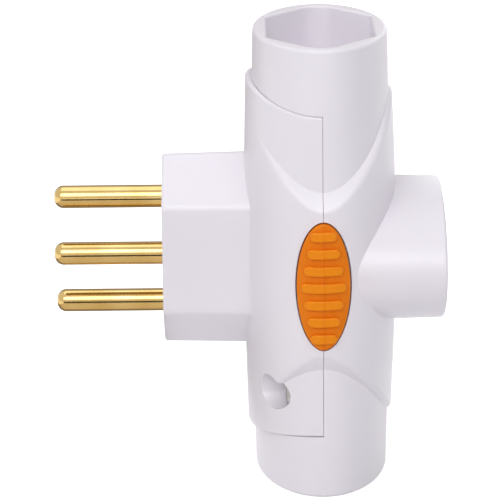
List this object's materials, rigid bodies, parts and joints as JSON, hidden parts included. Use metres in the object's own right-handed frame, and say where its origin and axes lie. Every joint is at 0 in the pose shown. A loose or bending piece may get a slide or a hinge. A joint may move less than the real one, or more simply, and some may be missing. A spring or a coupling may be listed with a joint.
{
  "type": "socket adapter",
  "caption": "T-shaped socket adapter whose round-pin plug feeds hexagonal recessed outlets at its top, bottom and side, with ribbed oval grip pads.",
  "frame": {"origin": "centre of the plug's front face, on the line through its line and neutral pins", "axes": "-X out of the plug face along the pins, +X towards the side outlet, +Z towards the upper outlet, -Y the front grip pad"},
  "size_m": [0.0679, 0.0486, 0.0792],
  "materials": {
    "casing": "satin white moulded plastic",
    "grip": "satin orange moulded plastic",
    "pin": "turned and polished",
    "strip": "rolled strip, satin",
    "spring": "spring steel",
    "screw": "zinc plated"
  },
  "bodies": {
    "root": {"main_casing": "casing", "plug_casing": "casing", "front_grip_left": "grip", "front_grip_right": "grip", "rear_grip_left": "grip", "rear_grip_right": "grip", "line_pin": "pin", "neutral_pin": "pin", "earth_pin": "pin", "line_busbar": "strip", "neutral_busbar": "strip", "earth_busbar": "strip", "line_contact_top": "strip", "line_contact_bottom": "strip", "line_contact_side": "strip", "neutral_contact_top": "strip", "neutral_contact_bottom": "strip", "neutral_contact_side": "strip", "earth_contact_top": "strip", "earth_contact_bottom": "strip", "earth_contact_side": "strip", "line_contact_springs": "spring", "neutral_contact_springs": "spring", "earth_contact_springs": "spring", "casing_screw_front": "screw", "casing_screw_rear": "screw"}
  },
  "joints": []
}
